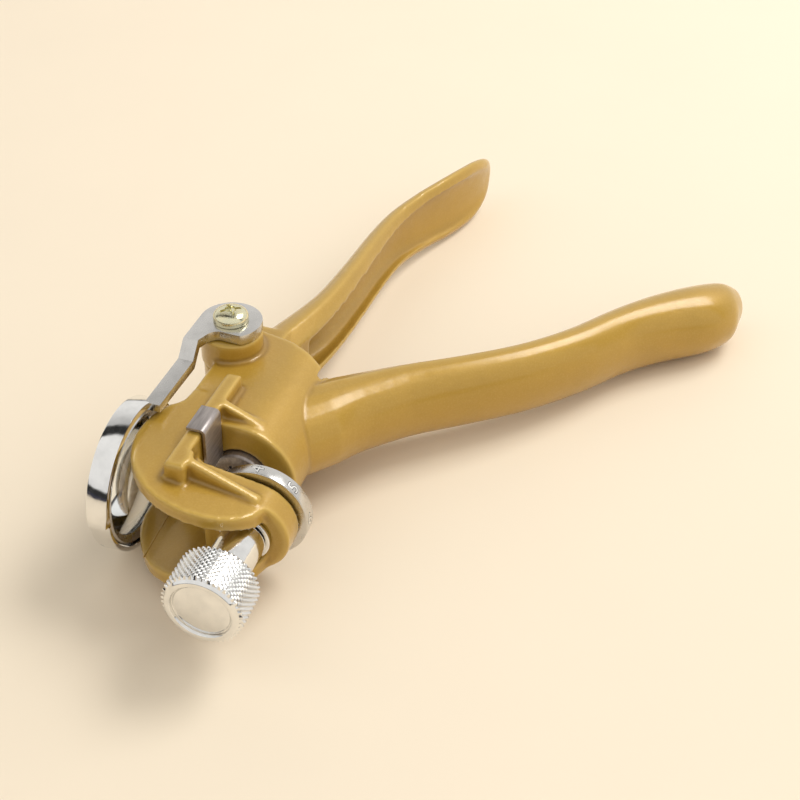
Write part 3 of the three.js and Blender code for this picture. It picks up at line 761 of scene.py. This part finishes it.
# ---------- tooth rests ----------
def tooth_rest(node_name, name, up):
    """Bent steel sheet: a flange on the rib and one down the slot, with a cut lower corner."""
    low, high = box_mm(node_name)
    sheet, bend, cut_x, cut_z = 0.6, 1.1, 2, 2.4
    top = max(abs(low.z), abs(high.z))
    base = min(abs(low.z), abs(high.z))
    y0, y1 = low.y, high.y
    outer = [(y0, base)] + arc(y0 + bend, top - bend, bend, 180, 90, 8) + [(y1, top)]
    inner = [(y1, top - sheet)] + arc(y0 + bend, top - bend, bend - sheet, 90, 180, 6) + [(y0 + sheet, base)]
    profile = outer + inner
    rest = prism(name, [(low.x, y, up * z) for y, z in profile], [(high.x, y, up * z) for y, z in profile])
    outline = [(low.x - 1, base - 1), (low.x + cut_x + 1, base - 1), (low.x - 1, base + cut_z + 1.2)]
    wedge = prism("wedge", [(x, y0 - 1, up * z) for x, z in outline],
                  [(x, y0 + 2, up * z) for x, z in outline])
    combine(rest, wedge, "DIFFERENCE")
    return smooth(bevel(rest, 0.09, 2, 30), 34)


finish_piece(tooth_rest("tooth_rest_upper", "rest_upper", 1), "frame", "steel", STEEL, "tooth_rest_upper")
finish_piece(tooth_rest("tooth_rest_lower", "rest_lower", -1), "frame", "steel", STEEL, "tooth_rest_lower")


# ---------- numbers on the dial's rim ----------
NUMBERS = ["4", "5", "6", "7", "8", "9", "10", "12"]
DIAL_START = 88                      # degrees from +y to the first number
DIGIT_X = dial_low.x + 1.3
DIGIT_SIZE, PAIR_SIZE, DIGIT_T = 3.3, 2.4, 0.06


def dial_numbers(name, swell, rise, material):
    """Numbers bent round the rim, each reading along the dial's axis, as one inlaid piece."""
    objects = []
    for k, text in enumerate(NUMBERS):
        curve = bpy.data.curves.new("digit", "FONT")
        curve.body = text
        curve.size = DIGIT_SIZE if len(text) == 1 else PAIR_SIZE
        curve.align_x = "CENTER"
        curve.align_y = "CENTER"
        curve.extrude = DIGIT_T
        curve.offset = swell
        curve.resolution_u = 4
        obj = new_object("digit", curve)
        graph = bpy.context.evaluated_depsgraph_get()
        mesh = bpy.data.meshes.new_from_object(obj.evaluated_get(graph))
        bpy.data.objects.remove(obj)
        middle = math.radians(DIAL_START + 360 * k / len(NUMBERS))
        for v in mesh.vertices:
            a = middle - v.co.y / DIAL_R
            r = DIAL_R - DIGIT_T + rise + v.co.z
            v.co = (DIGIT_X + v.co.x, STUD_Y + r * math.cos(a), r * math.sin(a))
        objects.append(new_object("digit", mesh))
    with bpy.context.temp_override(active_object=objects[0], selected_editable_objects=objects):
        bpy.ops.object.join()
    made = place(objects[0], material)
    made.name = name
    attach(made, "dial")


# dark outline, a little wider than the bright numbers and just below them
dial_numbers("number_edges", 0.1, 0.008, DARK_OUTLINE)
dial_numbers("numbers", 0.0, 0.02, FROST)


# ---------- floor, light and camera ----------
DOWNWARD = -0.95                     # faces of the hull that look down more than this can be stood on
SMALLEST_FOOT = 1e-5                 # m2
ON_EDGE = -1e-7                      # slack for a centre of mass right above an edge


def resting_plane():
    """Point and upward normal of the plane that the tool rests on.

    It is the face of the convex hull right below the centre of the CAD surface.
    """
    b = bmesh.new()
    weight = Vector()
    total = 0.0
    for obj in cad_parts.values():
        b.from_mesh(obj.data)
    for face in b.faces:
        area = face.calc_area()
        weight += face.calc_center_median() * area
        total += area
    centre = weight / total
    hull = bmesh.ops.convex_hull(b, input=b.verts)["geom"]
    best = None
    for face in [g for g in hull if isinstance(g, bmesh.types.BMFace)]:
        n = face.normal
        if n.z > DOWNWARD or face.calc_area() < SMALLEST_FOOT:
            continue
        foot = centre - n * (centre - face.verts[0].co).dot(n)
        inside = all((loop.link_loop_next.vert.co - loop.vert.co).cross(foot - loop.vert.co).dot(n) > ON_EDGE
                     for loop in face.loops)
        if inside:
            best = (face.verts[0].co.copy(), -n.copy())
    b.free()
    return best


floor_point, floor_up = resting_plane()
bpy.context.scene.view_settings.view_transform = "Standard"


def plain(name, color, roughness):
    """Even material whose colour drifts by a touch."""
    material, tree, surface = shader(name, color, 0.0, roughness)
    tree.links.new(mix(tree, remap(tree, noise(tree, 0.02, 3), 0.3, 0.7, 0, 1), color,
                       tuple(c * 0.985 for c in color)), surface.inputs["Base Color"])
    return material


floor = plate("floor", [(-3, -3), (3, -3), (3, 3), (-3, 3)], -0.01, 0)
floor.matrix_world = Matrix.Translation(floor_point) @ floor_up.to_track_quat("Z", "Y").to_matrix().to_4x4()
floor.data.materials.append(plain("pale_floor", (0.86, 0.74, 0.57), 0.9))

# The camera that was fitted to the round parts of the photo; lengths in millimetres
AZIMUTH, ELEVATION, ROLL = math.radians(73.96), math.radians(37.27), math.radians(2.094)
DISTANCE, TARGET = 272.7, Vector((7.855, -32.67, 0))
right = Vector((math.cos(AZIMUTH), -math.sin(AZIMUTH), 0))
away = Vector((math.sin(AZIMUTH), math.cos(AZIMUTH), 0))
up = Vector((0, 0, 1))
forward = away * math.cos(ELEVATION) - up * math.sin(ELEVATION)
lift = away * math.sin(ELEVATION) + up * math.cos(ELEVATION)
cam_x = right * math.cos(ROLL) + lift * math.sin(ROLL)
cam_y = -right * math.sin(ROLL) + lift * math.cos(ROLL)

camera = bpy.data.objects.new("camera", bpy.data.cameras.new("camera"))
bpy.context.scene.collection.objects.link(camera)
camera.data.lens = 60.67
camera.data.sensor_width = 36
camera.data.clip_start = 0.01
camera.data.clip_end = 30
rotation = Matrix((cam_x, cam_y, -forward)).transposed().to_4x4()
camera.matrix_world = Matrix.Translation(PIVOT + (TARGET - forward * DISTANCE) * MM) @ rotation
bpy.context.scene.camera = camera


def softbox(name, offset, size, power, mirrored):
    """Area light aimed at the tool; offset is (right, away, up) in metres."""
    light = bpy.data.lights.new(name, "AREA")
    light.shape = "RECTANGLE"
    light.size, light.size_y = size
    light.energy = power
    obj = bpy.data.objects.new(name, light)
    bpy.context.scene.collection.objects.link(obj)
    middle = PIVOT + TARGET * MM
    obj.location = middle + right * offset[0] + away * offset[1] + up * offset[2]
    obj.rotation_euler = (middle - obj.location).to_track_quat("-Z", "Y").to_euler()
    obj.visible_glossy = mirrored


softbox("key", (0.8, 0.2, 0.8), (0.9, 0.9), 4, False)
softbox("sheen", (0.47, 0.27, 0.84), (0.5, 0.34), 4.4, True)

# Places across the sky, from one horizon at 0 to the other at 1, and their brightness
SKY = [(0.015, 0.03), (0.05, 0.03), (0.07, 0.87), (0.5, 0.92), (0.53, 0.03), (0.6, 0.03), (0.63, 0.55),
       (0.8, 0.85), (0.86, 0.9), (0.965, 0.9), (0.985, 0.1)]


def studio():
    """Soft tent of light whose brightness changes in bands from one side of the sky to the other."""
    world = bpy.data.worlds.new("studio")
    bpy.context.scene.world = world
    world.use_nodes = True
    tree = world.node_tree
    sky = tree.nodes.new("ShaderNodeTexCoord")
    split = tree.nodes.new("ShaderNodeSeparateXYZ")
    back = tree.nodes.new("ShaderNodeMath")
    back.operation = "MULTIPLY"
    back.inputs[1].default_value = -1
    turn = tree.nodes.new("ShaderNodeMath")
    turn.operation = "ARCTAN2"
    tree.links.new(sky.outputs["Generated"], split.inputs["Vector"])
    tree.links.new(split.outputs["X"], back.inputs[0])
    tree.links.new(split.outputs["Z"], turn.inputs[0])
    tree.links.new(back.outputs[0], turn.inputs[1])
    across = remap(tree, turn.outputs[0], 0, math.pi, 0, 1)
    ramp = tree.nodes.new("ShaderNodeValToRGB")
    ramp.color_ramp.interpolation = "EASE"
    stops = ramp.color_ramp.elements
    stops[0].position, stops[0].color = 0.0, (0.05, 0.05, 0.07, 1)
    stops[1].position, stops[1].color = 1.0, (0.06, 0.06, 0.08, 1)
    for at, level in SKY:
        stops.new(at).color = (level, level * 0.985, level * 0.96, 1)
    tree.links.new(across, ramp.inputs["Fac"])
    background = tree.nodes["Background"]
    tree.links.new(ramp.outputs["Color"], background.inputs["Color"])
    background.inputs["Strength"].default_value = 1.0


studio()
